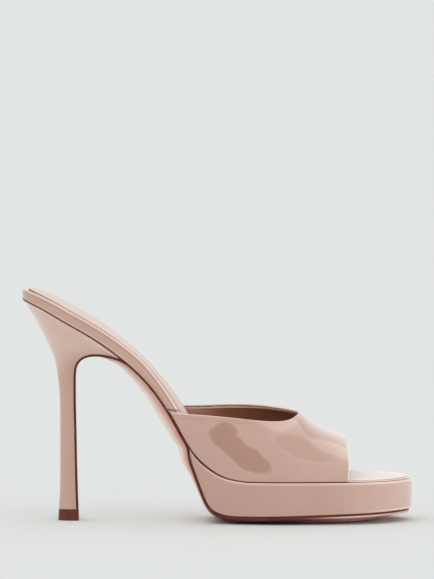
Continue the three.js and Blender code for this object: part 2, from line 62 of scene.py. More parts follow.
shoe = {
    "length": 0.2142,
    "ballWidth": 0.077,
    "seatHeight": 0.1223,
    "platformHeight": 0.0234,
    "tipHeight": 0.0059,
    "gap": 0.0003,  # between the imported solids
    "seam": 0.00004,  # between glued pieces here, where only their rounded edges part
    "heelRound": 0.0245,  # how far the rounded ends of the plan reach in
    "toeRound": 0.038,
    "bellyFullness": 2.5,  # 2 is an ellipse, more is squarer
    "endStep": 0.0002,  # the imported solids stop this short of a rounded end
    "rim": 0.0008,
    "wall": 0.0018,
}
tipLow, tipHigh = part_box("heel_tip")
heelBackX = cadLow.x - shoe["endStep"]
centreY = (tipLow.y + tipHigh.y) / 2


def table(columns, rows):  # a dictionary of columns from rows of numbers
    values = np.array(rows, float)
    return {name: values[:, i] for i, name in enumerate(columns.split())}


# climb of the insole's underside from the platform's top, 0, to the seat, 1
boardLine = table("along rise", [
    (0, 1), (0.05, 0.9525), (0.1118, 0.877), (0.1736, 0.8005), (0.2354, 0.712), (0.2869, 0.624),
    (0.3266, 0.5356), (0.365, 0.4246), (0.3949, 0.3135), (0.423, 0.2043), (0.4464, 0.131),
    (0.4722, 0.08), (0.5031, 0.036), (0.5339, 0.013), (0.5854, 0), (1, 0),
])

# half and swing are shares of the ball width, tuck is how far the insole stands inside the upper
plan = table("along half swing belly cup insole sock tuck", [
    (0, 0.326, 0, 0, 0.3, 0.93, 1, 0), (0.1196, 0.328, 0, 0, 0.6, 1, 1, 0),
    (0.1894, 0.326, -0.002, 0.06, 0.75, 1, 0.85, 0.1),
    (0.2392, 0.312, -0.006, 0.6, 0.85, 1, 0.42, 0.3),
    (0.2891, 0.293, -0.014, 0.9, 0.95, 0.97, 0.45, 0.6),
    (0.3389, 0.284, -0.024, 1.06, 1, 0.87, 0.95, 0.9),
    (0.3788, 0.286, -0.032, 1.18, 1, 0.83, 1.75, 1),
    (0.4286, 0.3, -0.038, 0.94, 0.85, 0.73, 2.3, 1), (0.4784, 0.335, -0.041, 0.36, 0.6, 0.57, 2, 1),
    (0.5382, 0.392, -0.038, 0, 0.35, 0.43, 0.85, 1), (0.608, 0.452, -0.026, 0, 0.2, 0.31, 0.62, 1),
    (0.6778, 0.486, -0.01, 0, 0.1, 0.22, 0.48, 1), (0.7475, 0.495, 0.008, 0, 0, 0.16, 0.4, 1),
    (0.8173, 0.49, 0.024, 0, 0, 0.11, 0.36, 1), (0.8472, 0.488, 0.03, 0, 0, 0.09, 0.36, 1),
    (0.8771, 0.486, 0.036, 0, 0, 0.09, 0.36, 0), (1, 0.482, 0.05, 0, 0, 0.09, 0.36, 0),
])


# curve through a table's rows that never overshoots, eased over a short run of its key
def smoothLine(keys, values, ease=0.0):
    keys, values = np.asarray(keys, float), np.asarray(values, float)
    widths = np.diff(keys)
    slopes = np.diff(values) / widths
    before, after = slopes[:-1], slopes[1:]
    same = before * after > 0
    near, far = widths[:-1], widths[1:]
    weights = (near + 2 * far) / np.where(same, after, 1) + (2 * near + far) / np.where(same, before, 1)
    inner = np.where(same, 3 * (near + far) / np.where(same, weights, 1), 0)
    tangents = np.concatenate([slopes[:1], inner, slopes[-1:]])
    fine = np.linspace(keys[0], keys[-1], 6000)
    i = np.clip(np.searchsorted(keys, fine, side="right") - 1, 0, len(keys) - 2)
    t = (fine - keys[i]) / widths[i]
    rest = 1 - t
    curve = values[i] * (1 + 2 * t) * rest**2 + values[i + 1] * t**2 * (3 - 2 * t)
    curve += (tangents[i] * rest - tangents[i + 1] * t) * widths[i] * t * rest
    if ease > 0:
        spread = ease / (fine[1] - fine[0])
        reach = int(3 * spread)
        bell = np.exp(-0.5 * (np.arange(-reach, reach + 1) / spread) ** 2)
        padded = np.pad(curve, reach, mode="reflect", reflect_type="odd")
        curve = np.convolve(padded, bell / bell.sum(), mode="valid")
    return lambda key: np.interp(key, fine, curve)


planEase = 0.008
boardRise = smoothLine(boardLine["along"], boardLine["rise"], 0.006)
planLine = {name: smoothLine(plan["along"], plan[name], planEase) for name in plan if name != "along"}


def boardHeight(along):
    return shoe["platformHeight"] + boardRise(along) * (shoe["seatHeight"] - shoe["platformHeight"])


def roundedEnd(distance, radius):  # 0 at the tip of a rounded end, 1 where it is full
    inside = np.clip(1 - np.maximum(distance, 0) / radius, 0, 1)
    return np.sqrt(1 - inside**2)


def sag(depth, opening, across):  # a curved underside, level with the edge at the edge
    power = shoe["bellyFullness"]
    return depth * np.maximum(0, opening**power - np.abs(across) ** power)


# stations on the board: place, upward normal and the board's shape, the normal upright at the very back
def boardAt(x, extra=0.0, endMargin=0.0):
    along = x / shoe["length"]
    step = 0.0005
    slope = (boardHeight(along + step) - boardHeight(along - step)) / (2 * step * shoe["length"])
    lean = slope * np.clip(x / shoe["heelRound"], 0, 1)
    size = np.hypot(1, lean)
    heel = roundedEnd(x - extra, shoe["heelRound"] - extra)
    toe = roundedEnd(shoe["length"] - endMargin - x, shoe["toeRound"] - endMargin)
    station = {name: line(along) for name, line in planLine.items()}
    station.update(x=x, along=along, z=boardHeight(along), opening=heel * toe)
    station.update(nx=-lean / size, nz=1 / size)
    station["full"] = station["half"] * shoe["ballWidth"]
    station["swing"] = station["swing"] * shoe["ballWidth"]
    return station


# places along a piece, evenly spaced but crowding into its toe, and into its start if that is round
def endCrowded(start, end, startRound, step):
    turns = 1 - np.cos(np.linspace(0, math.pi / 2, 26))
    middle = np.arange(start + startRound, end - shoe["toeRound"], step)[1:-1]
    first = start + startRound * turns if startRound > 0 else [start]
    return np.concatenate([first, middle, end - shoe["toeRound"] * turns[::-1]])


# offsets across each station, with columns crowded into an edge of the given radius
def acrossColumns(half, radius, inner=25, edge=7):
    turns = np.linspace(0, math.pi / 2, edge)
    near = 1 - np.cos(turns[:-1])
    reach = np.minimum(radius, half * 0.5)[:, None]
    core = np.sin(np.linspace(-math.pi / 2, math.pi / 2, inner))[None, :] * (half[:, None] - reach)
    outer = half[:, None] - reach * near[None, :]
    return np.concatenate([-outer, core, outer[:, ::-1]], axis=1)


# distance from points to a closed or open line, in the dimensions that both have
def distanceTo(points, line):
    chunk = 2000
    starts, steps = line[:-1], np.diff(line, axis=0)
    sizes = np.maximum((steps**2).sum(1), 1e-18)
    found = []
    for i in range(0, len(points), chunk):
        away = points[i:i + chunk, None, :] - starts[None]
        t = np.clip((away * steps).sum(2) / sizes, 0, 1)
        found.append(np.sqrt(((away - t[..., None] * steps) ** 2).sum(2).min(1)))
    return np.concatenate(found)


def edgeDrop(distance, radius):  # how far a rounded edge falls away at a distance from it
    inside = np.clip(radius - distance, 0, radius)
    return radius - np.sqrt(np.maximum(radius**2 - inside**2, 0))


def ringOf(rows, columns):  # indices round the border of a grid
    forward = [(0, j) for j in range(columns)] + [(i, columns - 1) for i in range(1, rows)]
    back = [(rows - 1, j) for j in range(columns - 2, -1, -1)] + [(i, 0) for i in range(rows - 2, 0, -1)]
    return forward + back


def gridFaces(rows, columns, first):
    i, j = np.meshgrid(np.arange(rows - 1), np.arange(columns - 1), indexing="ij")
    a = first + i * columns + j
    return np.stack([a, a + 1, a + columns + 1, a + columns], axis=-1).reshape(-1, 4)


def ringFaces(rings, around, first=0):  # between closed rings of points
    i, j = np.meshgrid(np.arange(rings - 1), np.arange(around), indexing="ij")
    a = first + i * around + j
    b = first + i * around + (j + 1) % around
    return np.stack([a, b, b + around, a + around], axis=-1).reshape(-1, 4)


# a mesh object from points and faces, merged where points meet, its faces turned outward
def meshPiece(name, points, faces, finishes, slots=None, fields=None):
    mesh = bpy.data.meshes.new(name)
    placed = np.asarray(points, float) + np.array([heelBackX, centreY, 0])
    mesh.from_pydata(placed.tolist(), [], [list(map(int, face)) for face in faces])
    if slots is not None:
        mesh.polygons.foreach_set("material_index", np.asarray(slots, np.int32))
    for key, values in (fields or {}).items():
        layer = mesh.attributes.new(key, "FLOAT", "POINT")
        layer.data.foreach_set("value", np.asarray(values, np.float32))
    made = bmesh.new()
    made.from_mesh(mesh)
    bmesh.ops.remove_doubles(made, verts=made.verts, dist=2e-6)
    bmesh.ops.dissolve_degenerate(made, dist=1e-6, edges=made.edges)
    bmesh.ops.recalc_face_normals(made, faces=made.faces)
    for face in made.faces:
        face.smooth = True
    made.to_mesh(mesh)
    made.free()
    for finish in finishes:
        mesh.materials.append(finish)
    piece = bpy.data.objects.new(name, mesh)
    bpy.context.scene.collection.objects.link(piece)
    print(f"{name}: {len(mesh.polygons)} faces")
    return piece


def outwardOf(ring):  # unit normals in plan along a closed ring, one for points that coincide
    moved = np.linalg.norm(ring - np.roll(ring, 1, axis=0), axis=1) > 1e-6
    kept = ring[moved]
    run = (np.roll(kept, -1, axis=0) - np.roll(kept, 1, axis=0))[:, :2]
    normal = np.stack([run[:, 1], -run[:, 0]], axis=1)
    if (normal * (kept[:, :2] - kept[:, :2].mean(0))).sum() < 0:
        normal = -normal
    normal = normal / np.linalg.norm(normal, axis=1, keepdims=True)
    return normal[np.cumsum(moved) - 1]


# Closed skin between two sheets of points that share their rows and columns. Its wall may swell outward.
# A field holds a value for each point of both sheets, and runs evenly between them on the wall.
def skin(name, under, over, finishes, wallRows, fields, wallSlot=0, edgeColumns=0, swell=None):
    rows, columns = under.shape[:2]
    ring = ringOf(rows, columns)
    i, j = np.array(ring).T
    low, high = under[i, j], over[i, j]
    shares = 0.5 - 0.5 * np.cos(np.linspace(0, math.pi, wallRows + 1))[:, None]
    wall = low[None] * (1 - shares[..., None]) + high[None] * shares[..., None]
    if swell is not None:
        height = np.linalg.norm(high - low, axis=1)[None]
        out = swell(height * (1 - shares), height * shares)[..., None]
        out[[0, -1]] = 0
        wall[..., :2] += outwardOf(high)[None] * out
    points = np.concatenate([under.reshape(-1, 3), over.reshape(-1, 3), wall.reshape(-1, 3)])
    spread = {}
    for key, (below, above) in fields.items():
        between = below[i, j] * (1 - shares) + above[i, j] * shares
        spread[key] = np.concatenate([below.ravel(), above.ravel(), between.ravel()])
    count = rows * columns
    lower = gridFaces(rows, columns, 0)
    upper = gridFaces(rows, columns, count)
    walls = ringFaces(wallRows + 1, len(ring), 2 * count)
    column = np.arange(len(lower)) % (columns - 1)
    onEdge = (column < edgeColumns) | (column >= columns - 1 - edgeColumns)
    sheetSlots = np.where(onEdge, wallSlot, 0)
    slots = np.concatenate([sheetSlots, sheetSlots, np.full(len(walls), wallSlot)])
    return meshPiece(name, points, np.concatenate([lower, upper, walls]), finishes, slots, spread)


# fields in millimetres: distance from the top edge, from the foot, and inward over the top sheet only
def edgeFields(under, over, distanceUnder, distanceOver):
    height = np.linalg.norm(over - under, axis=-1) * 1000
    below, above = distanceUnder * 1000, distanceOver * 1000
    return {
        "fold": (height + below, above),
        "foot": (below, height + above),
        "inward": (-1 - below, above),
    }


def outlineOf(station, half):  # plan outline of a piece as a closed line of x and y
    right = np.stack([station["x"], station["swing"] + half], axis=1)
    left = np.stack([station["x"], station["swing"] - half], axis=1)
    return np.concatenate([right, left[::-1], right[:1]])


# a sheet of points over the stations, lifted along their normals
def sheet(station, across, lift):
    x = station["x"][:, None] + station["nx"][:, None] * lift
    y = station["swing"][:, None] + across + 0 * lift
    z = station["z"][:, None] + station["nz"][:, None] * lift
    return np.stack([x, y, z], axis=-1)


def shareOf(station, across):  # of the half width of the plan, before its ends are rounded
    return across / np.maximum(station["full"][:, None], 1e-6)


def crown(height, fromTop, fromFoot):  # a wall swollen between its top and its foot
    return height * np.sin(math.pi * fromFoot / (fromTop + fromFoot + 1e-9))


def planDistance(station, across, half):  # distance of each point of a sheet from the plan outline
    xy = np.stack([station["x"][:, None] + 0 * across, station["swing"][:, None] + across], axis=-1)
    return distanceTo(xy.reshape(-1, 2), outlineOf(station, half)).reshape(across.shape)


def operator(operation, flipped=False):  # a method that adds a Math node
    def act(self, other):
        return self.math(operation, *((other, self) if flipped else (self, other)))
    return act


# Shader maths: a wire is a socket that arithmetic adds Math nodes to
class Wire:
    def __init__(self, finish, socket):
        self.finish = finish
        self.socket = socket

    def math(self, operation, *values):
        return self.finish.node("ShaderNodeMath", {"operation": operation}, dict(enumerate(values)))

    __add__ = __radd__ = operator("ADD")
    __mul__ = __rmul__ = operator("MULTIPLY")
    __sub__ = operator("SUBTRACT")
    __rsub__ = operator("SUBTRACT", True)
    __truediv__ = operator("DIVIDE")
    __rtruediv__ = operator("DIVIDE", True)
    __pow__ = operator("POWER")
    __rpow__ = operator("POWER", True)
    higher = operator("MAXIMUM")

    def __abs__(self):
        return self.math("ABSOLUTE", self)

    def clamped(self):
        return self.finish.node("ShaderNodeClamp", {}, {"Value": self})

    def step(self, low, high):  # 0 below low, 1 above high, soft between
        settings = {"interpolation_type": "SMOOTHSTEP"}
        sockets = {"Value": self, "From Min": low, "From Max": high}
        return self.finish.node("ShaderNodeMapRange", settings, sockets, "Result")

    def near(self, centre, width):  # 1 at the centre, fading to 0 a width away
        return 1 - abs(self - centre).step(0.0, width)


class Finish:
    def __init__(self, name):
        self.material = bpy.data.materials.new(name)
        self.material.use_nodes = True
        self.tree = self.material.node_tree
        self.tree.nodes.clear()
        self.place = self.node("ShaderNodeTexCoord", {}, {}, "Object")
        split = {"Vector": self.place}
        self.x, self.z = [self.node("ShaderNodeSeparateXYZ", {}, split, axis) * 1000 for axis in "XZ"]

    # any node: its type, its settings, its sockets' values or wires, and the output wanted
    def node(self, kind, settings, sockets, output=0):
        made = self.tree.nodes.new(kind)
        for key, value in settings.items():
            if key == "stops":
                ramp = made.color_ramp
                while len(ramp.elements) > 1:
                    ramp.elements.remove(ramp.elements[0])
                for i, (position, color) in enumerate(value):
                    element = ramp.elements[0] if i == 0 else ramp.elements.new(position)
                    element.position = position
                    element.color = color
            else:
                setattr(made, key, value)
        for key, value in sockets.items():
            if isinstance(value, Wire):
                self.tree.links.new(value.socket, made.inputs[key])
            else:
                made.inputs[key].default_value = value
        return Wire(self, made.outputs[output]) if made.outputs else None

    def noise(self, size, detail=2.0, roughness=0.5, distortion=0.0):
        sockets = {"Vector": self.place, "Scale": 1 / size, "Detail": detail, "Roughness": roughness,
                   "Distortion": distortion}
        return self.node("ShaderNodeTexNoise", {}, sockets, "Fac")

    def mixColors(self, factor, first, second):
        return self.node("ShaderNodeMix", {"data_type": "RGBA"}, {0: factor, 6: first, 7: second}, 2)

    def field(self, name):  # a value kept on the mesh
        return self.node("ShaderNodeAttribute", {"attribute_name": name}, {}, "Fac")

    def ramp(self, value, stops):
        return self.node("ShaderNodeValToRGB", {"stops": stops}, {"Fac": value}, "Color")

    def bump(self, height, depth, **more):
        return self.node("ShaderNodeBump", {}, {"Height": height, "Distance": depth, **more})

    def surface(self, fixed, wired):
        shader = self.node("ShaderNodeBsdfPrincipled", {}, {**fixed, **wired})
        self.node("ShaderNodeOutputMaterial", {}, {"Surface": shader})
        return self.material


def rgb(red, green, blue):  # linear colour from the eight-bit values of a screen
    def linear(value):
        share = value / 255
        return share / 12.92 if share <= 0.04045 else ((share + 0.055) / 1.055) ** 2.4
    return (linear(red), linear(green), linear(blue), 1.0)


# Pink patent leather: its tones are painted reflection, running from 0, tan where the gloss mirrors
# little, to 1, pale, then on to painted glare
patent = {
    "stops": [(0, rgb(178, 134, 114)), (0.4, rgb(202, 164, 150)), (0.8, rgb(243, 211, 197)),
              (1, rgb(255, 246, 238))],
    "paleStop": 0.8,
    # painted shade laid into seams, gaps and shadow lines
    "grooveShade": rgb(104, 42, 28),
    "grooveRoughness": 0.6,
    "roughness": 0.16,
    "smudge": 0.004,
    "smudgeRoughness": 0.05,
    "coat": 0.7,
    "coatRoughness": 0.05,
    "ripple": 0.011,
    "rippleDepth": 0.00005,
    "pebble": 0.0009,
    "pebbleDepth": 0.000004,
    "mottle": 0.16,
    "cloud": 0.016,
    "cloudiness": 0.12,
}


def patentFinish(name, paint):
    finish = Finish(name)
    # each paint gives a tone of painted reflection and a mask of painted shade
    tone, grooveShade = paint(finish)
    speckle = finish.noise(patent["pebble"], 1.0)
    cloud = finish.noise(patent["cloud"])
    tone = tone + (speckle - 0.5) * patent["mottle"] + (cloud - 0.5) * patent["cloudiness"]
    color = finish.ramp((tone * patent["paleStop"]).clamped(), patent["stops"])
    soft = finish.bump(finish.noise(patent["ripple"], 1.0), patent["rippleDepth"])
    smudge = finish.noise(patent["smudge"], 3.0) * patent["smudgeRoughness"]
    fixed = {"Coat Roughness": patent["coatRoughness"], "Coat IOR": 1.5, "IOR": 1.45}
    wired = {
        "Base Color": finish.mixColors(grooveShade, color, patent["grooveShade"]),
        "Roughness": patent["roughness"] + smudge + grooveShade * patent["grooveRoughness"],
        "Normal": finish.bump(speckle, patent["pebbleDepth"], Normal=soft),
        "Coat Weight": (1 - grooveShade) * patent["coat"],
    }
    return finish.surface(fixed, wired)


def oval(across, along, soft):  # 1 within an oval of size 1, fading to 0 at its rim
    return 1 - ((across * across + along * along) ** 0.5).step(soft, 1.0)


vampTone = {  # tones, and places in millimetres
    "body": 0.47,
    # painted highlight, lighter toward the toe
    "toe": 0.06,
    "wave": 0.015,  # metres
    "sway": 6.0,  # how far the reflections' edges wander
    # depth of the painted reflection patch
    "reflectionPatch": 0.46,
    "patchLine": (47.6, -0.68, 0.004),  # height of its middle against x
    "patchCentre": 12.5,
    "patchReach": 18.5,
    "patchHalf": 7.6,
    "neck": (3.4, 48.6),  # the upper end of the patch
    "neckSize": (7.4, 8.0),
    "sheen": 0.38,
    "sheenPale": 0.62,
    "sheenStart": 31.0,
    "sheenFoot": 33.0,
    "sheenRise": 13.6,
    "sheenRun": 12.0,
    "shade": 0.1,  # under the topline
    "toplineGlare": 0.5,
    "frontGlare": 0.9,
}


# painted reflections: a wavy tan patch along the outer side, and a sheen over the toe that starts tan
# and grows pale
def paintVamp(finish):
    settings = vampTone
    sway = (finish.noise(settings["wave"], 1.0) - 0.5) * settings["sway"]
    x, z = finish.x + sway, finish.z + sway * 0.6
    level, slope, curve = settings["patchLine"]
    across = (z - (level + x * slope + x * x * curve)) / settings["patchHalf"]
    reflectionPatch = oval(across, (x - settings["patchCentre"]) / settings["patchReach"], 0.8)
    (neckX, neckZ), (neckLong, neckTall) = settings["neck"], settings["neckSize"]
    neck = oval((x - neckX) / neckLong, (z - neckZ) / neckTall, 0.75)
    reflectionPatch = reflectionPatch.higher(neck)
    start, sheenFoot, rise = [settings[name] for name in ("sheenStart", "sheenFoot", "sheenRise")]
    run = (start - x) / settings["sheenRun"]
    aboveFoot = z - (sheenFoot + rise * run.math("EXPONENT", run))
    side = x - start - (z - (sheenFoot + rise)).higher(0.0) * 1.45
    sheen = aboveFoot.step(-0.6, 1.6) * side.step(-0.8, 2.4)
    pale = (x + (z - 45) * 0.7).step(46.0, 82.0)
    between = aboveFoot.step(-3.0, 1.0) * (1 - sheen) * x.step(5.0, 20.0)
    # painted highlight toward the toe and just beside the sheen
    tone = settings["body"] + (finish.x.step(30.0, 70.0) + between) * settings["toe"]
    tone = (tone - reflectionPatch * settings["reflectionPatch"]) * (1 - sheen)
    tone = tone + sheen * (settings["sheen"] + pale * settings["sheenPale"])
    fold, front, foot, inside = [finish.field(name) for name in ("fold", "front", "foot", "inside")]
    # painted shade under the topline, painted glare on the topline fold and the front edge
    tone = tone - fold.near(2.4, 1.8) * (1 - finish.x.step(20.0, 34.0)) * settings["shade"]
    tone = tone + fold.near(0.1, 0.6) * settings["toplineGlare"]
    tone = tone + front.near(0.1, 0.8) * settings["frontGlare"]
    # painted shade: a dark line along the foot seam, wider at the back, and the turned-in edge dark
    # inside
    back = 1 - finish.x.step(-12.0, 12.0)
    grooveShade = 1 - (foot - back * 0.55).step(0.4, 0.95)
    innerShade = inside.step(0.4, 0.6) * fold.step(0.5, 0.8) * front.step(1.5, 3.0)
    return tone, (grooveShade + innerShade).clamped()


# painted light on the platform: tone rising toward the toe, painted highlights on the top rim and at the
# toe's foot
platformTone = {
    "rear": 0.37,
    "middle": 0.07,
    "toe": 0.26,
    "topGlare": 0.5,
    "footGlare": 0.4,  # over the sole's edge at the toe
}


def paintPlatform(finish):
    settings = platformTone
    tone = settings["rear"] + finish.x.step(-5.0, 50.0) * settings["middle"]
    tone = tone + finish.x.step(50.0, 106.0) * settings["toe"]
    tone = tone + finish.field("fold").near(0.25, 0.42) * settings["topGlare"]
    foot = finish.field("foot").near(0.4, 0.7) * finish.x.step(78.0, 100.0)
    # painted shade in the seam under the upper, ending where the upper ends
    grooveShade = finish.field("inward").step(0.7, 1.1) * (1 - finish.x.step(70.5, 73.0))
    return tone + foot * settings["footGlare"], grooveShade


# painted light on the band: painted highlights on the top fold and at its foot, painted shade under the
# fold and beside the sock
bandTone = {
    "seat": 0.43,
    "front": 0.14,
    "bead": 0.4,
    "underBeadShade": 0.22,
    "footGlare": 0.3,
    "top": 0.5,  # how much darker beside the sock
    "cornerZ": 62.5,  # shadow line over the rear corner of the upper
}


def paintBand(finish):
    settings = bandTone
    fold, foot, inward = [finish.field(name) for name in ("fold", "foot", "inward")]
    back = 1 - finish.x.step(70.0, 76.0)
    tone = settings["seat"] + finish.x.step(-75.0, -25.0) * settings["front"]
    tone = tone + fold.near(0.15, 0.55) * (0.1 + back * settings["bead"])
    tone = tone - fold.near(1.2, 0.7) * settings["underBeadShade"]
    tone = tone + foot.near(0.6, 0.5) * settings["footGlare"]
    tone = tone - inward.step(0.5, 0.8) * back * settings["top"] + (1 - back) * 0.08
    # painted shadow of the upper's rear corner, and painted shade along the band's foot
    corner = (finish.z + (finish.x + 28) * 0.1).near(settings["cornerZ"], 0.8)
    corner = corner * (1 - finish.x.step(-22.0, -18.0)) * 0.8
    return tone, (foot.near(0.0, 0.3) * back + corner).clamped()


# painted light on the heel: its seat painted lighter, a painted highlight at the back, painted shade
# toward the breast, darker toward the bottom
heelTone = {
    "stem": 0.54,
    "seat": 0.74,
    "backX": -85.0,
    "shadeTowardBreast": 0.034,  # tone lost a millimetre toward the breast
    "low": 0.06,
    "backGlare": 0.2,
}


def paintHeel(finish):
    settings = heelTone
    seat, seam = finish.z.step(78.0, 98.0), finish.field("seam")
    stem = settings["stem"] - (finish.x - settings["backX"]) * settings["shadeTowardBreast"]
    stem = stem - (1 - finish.z.step(8.0, 70.0)) * settings["low"]
    back = 1 - (finish.x + finish.z * 0.5).step(-60.0, -30.0)
    tone = (settings["seat"] + back * settings["backGlare"]) * seat + stem * (1 - seat)
    # a painted highlight above the seam, and painted shade in it
    return tone + seam.near(1.0, 0.6) * 0.2, seam.near(0.0, 0.42)


# Leathers with a fine grain, their colour given by a ramp over some value
def grainFinish(name, value, settings):
    finish = Finish(name)
    sockets = {"Vector": finish.place, "Scale": 1 / settings["grain"]}
    cells = finish.node("ShaderNodeTexVoronoi", {"feature": "DISTANCE_TO_EDGE"}, sockets, "Distance")
    fixed = {"Specular IOR Level": 0.22, "Coat Weight": settings["coat"], "Coat Roughness": 0.2}
    wired = {
        "Base Color": finish.ramp(value(finish), settings["stops"]),
        "Roughness": settings["roughness"] + finish.noise(0.003, 3.0) * 0.12,
        "Normal": finish.bump(cells.step(0.0, 0.25), settings["grainDepth"], Strength=0.5),
    }
    return finish.surface(fixed, wired)


# stops: painted shade along the foot, the lining, paler, and the painted highlight at the toe
sockLeather = {
    "stops": [(0, rgb(146, 104, 90)), (0.4, rgb(228, 205, 196)), (0.7, rgb(238, 219, 211)),
              (1, rgb(255, 247, 241))],
    "grain": 0.0011,
    "grainDepth": 0.00004,
    "roughness": 0.46,
    "coat": 0.0,
}
# lining: its pale edge, then the darker stops of painted shade
insideLeather = {
    "stops": [(0, rgb(205, 170, 155)), (0.25, rgb(184, 138, 120)), (0.75, rgb(134, 86, 62)),
              (1, rgb(132, 84, 58))],
    "grain": 0.0009,
    "grainDepth": 0.00004,
    "roughness": 0.5,
    "coat": 0.0,
}
soleLeather = {
    "stops": [(0, rgb(253, 243, 236)), (0.25, rgb(248, 225, 214)), (0.6, rgb(216, 160, 145)),
              (1, rgb(96, 48, 36))],
    "grain": 0.0008,
    "grainDepth": 0.00002,
    "roughness": 0.4,
    "coat": 0.1,
}


def sockValue(finish):  # painted shade along its foot, and a painted highlight that makes it palest at the toe
    cloud = 0.4 + finish.noise(0.018, 3.0) * 0.3
    toe = finish.x.step(50.0, 78.0)
    seam = 1 - finish.field("foot").step(0.12, 0.42)
    return (cloud + toe * 0.45) * (1 - seam * (1 - toe * 0.75))


def insideShadeValue(finish):  # painted shade inside the upper, deepening toward the toe, with the lining's pale edge left along the topline
    streak = (finish.noise(0.006, 3.0) - 0.5) * 0.12
    deep = 0.25 + finish.x.step(-22.0, 8.0) * 0.5 + finish.x.step(8.0, 34.0) * 0.2
    return (deep + streak) * finish.field("fold").step(1.5, 2.1)


def soleValue(finish):  # nude at the waist, pink toward its inked edges, and brown under the forefoot, its colour deepened there by painted shade near the floor and paling toward the toe
    ink = 1 - finish.field("foot").step(0.1, 11.0)
    # painted shade under the forefoot, less toward the toe
    forefoot = finish.x.step(-9.0, 1.0) * (1 - finish.x.step(20.0, 70.0) * 0.75)
    return (finish.noise(0.012, 4.0) * 0.2 + ink * 0.5 + forefoot * 0.95).clamped()


edgeInkAndLight = {
    "light": rgb(104, 46, 34),
    "deep": rgb(66, 28, 19),
    # forefoot and toe colour the lower edge with painted light
    "forefoot": rgb(114, 52, 39),
    "toe": rgb(232, 182, 168),
}
tipPlastic = {
    "light": rgb(116, 54, 36),
    "deep": rgb(92, 42, 29),
}


# Inked edges; under its dark top line the forefoot's edge is painted redder and lighter as painted
# light, rosier to the toe, and kept dark at its foot as painted shade where it meets the floor
def edgeFinish(name, settings):
    finish = Finish(name)
    streak = finish.noise(0.0035, 4.0, 0.6, 0.6)
    color = finish.mixColors(streak.step(0.3, 0.7), settings["deep"], settings["light"])
    if "forefoot" in settings:
        rosy = finish.x.step(45.0, 76.0)
        lower = finish.mixColors(rosy, settings["forefoot"], settings["toe"])
        share = finish.field("fold").step(0.75, 1.1) * finish.x.step(-10.0, 10.0)
        # painted shade at the foot of the edge where the tread meets the floor
        contactShade = 1 - finish.x.step(30.0, 60.0)
        share = share * (1 - contactShade * (1 - finish.field("foot").step(0.25, 0.7)))
        color = finish.mixColors(share, color, lower)
    fibre = finish.bump(finish.noise(0.0006, 3.0), 0.00003)
    fixed = {"Coat Weight": 0.05, "Coat Roughness": 0.25, "Specular IOR Level": 0.25}
    wired = {"Base Color": color, "Roughness": 0.36 + streak * 0.14, "Normal": fibre}
    return finish.surface(fixed, wired)


vampGloss = patentFinish("patent_vamp", paintVamp)
platformGloss = patentFinish("patent_platform", paintPlatform)
bandGloss = patentFinish("patent_band", paintBand)
heelGloss = patentFinish("patent_heel", paintHeel)
sockFinish = grainFinish("sock_leather", sockValue, sockLeather)
insideFinish = grainFinish("inner_leather", insideShadeValue, insideLeather)
soleFinish = grainFinish("sole_leather", soleValue, soleLeather)
inkAndLightFinish = edgeFinish("edge_ink_and_painted_light", edgeInkAndLight)
tipFinish = edgeFinish("tip_plastic", tipPlastic)
print("finishes made")


# Insole board, covered: its edge is the band under the foot
insole = {
    "thickness": 0.0068,
    "cup": 0.0024,
    "belly": 0.005,
    "lip": 0.0011,  # how far it stands in from the plan outline
    "topRound": 0.0007,
    "underRound": 0.0003,
    "throat": 0.7104,  # where the upper's collar ends
    "step": 0.0009,  # between stations
    "bead": 0.00022,  # along the band's top fold
    "beadPlace": 0.0005,
    "beadWidth": 0.00035,
    "crown": 0.0001,
}


def insoleMargin(along):
    insideUpper = shoe["rim"] + shoe["wall"] + shoe["gap"]
    tuck = planLine["tuck"](along)
    lip = insole["lip"] * np.clip((along - insole["throat"]) / 0.02, 0, 1)
    return tuck * insideUpper + (1 - tuck) * lip


def insoleStations(extra, extraBack=0.0):
    endMargin = insole["lip"] + extra
    back = extra + extraBack
    x = endCrowded(back, shoe["length"] - endMargin, shoe["heelRound"], insole["step"])
    station = boardAt(x, back, endMargin)
    half = (station["full"] - insoleMargin(station["along"]) - extra) * station["opening"]
    return station, half


def insoleTop(station, across):  # height of the insole's top above the board line
    cup = station["cup"][:, None] * insole["cup"]
    hollow = sag(cup, station["opening"][:, None], shareOf(station, across))
    return station["insole"][:, None] * insole["thickness"] - hollow


def bandSwell(fromTop, fromFoot):  # a bead along the top fold over a slight crown
    bead = insole["bead"] * np.exp(-((fromTop - insole["beadPlace"]) / insole["beadWidth"]) ** 2)
    return bead + crown(insole["crown"], fromTop, fromFoot)


def makeInsole():
    station, half = insoleStations(0.0)
    across = acrossColumns(half, insole["topRound"])
    distance = planDistance(station, across, half)
    thick = station["insole"][:, None] * insole["thickness"]
    topRound = np.minimum(insole["topRound"], thick * 0.3)
    over = insoleTop(station, across) - edgeDrop(distance, topRound)
    belly = station["belly"][:, None] * insole["belly"]
    under = edgeDrop(distance, np.minimum(insole["underRound"], thick * 0.3))
    under = under - sag(belly, station["opening"][:, None], shareOf(station, across))
    # the toe end settles onto the platform
    settled = np.clip((station["along"][:, None] - insole["throat"]) / 0.05, 0, 1)
    under = under - settled * (shoe["gap"] - shoe["seam"])
    below, above = sheet(station, across, under), sheet(station, across, over)
    fields = edgeFields(below, above, distance, distance)
    return skin("insole_band", below, above, [bandGloss], 18, fields, swell=bandSwell)


# Sock lining on top of it
sock = {
    "thickness": 0.0014,
    "margin": 0.0016,
    "backMargin": 0.0016,  # more of it at the back of the heel
    "backThin": 0.45,
    "edgeRound": 0.0007,
}


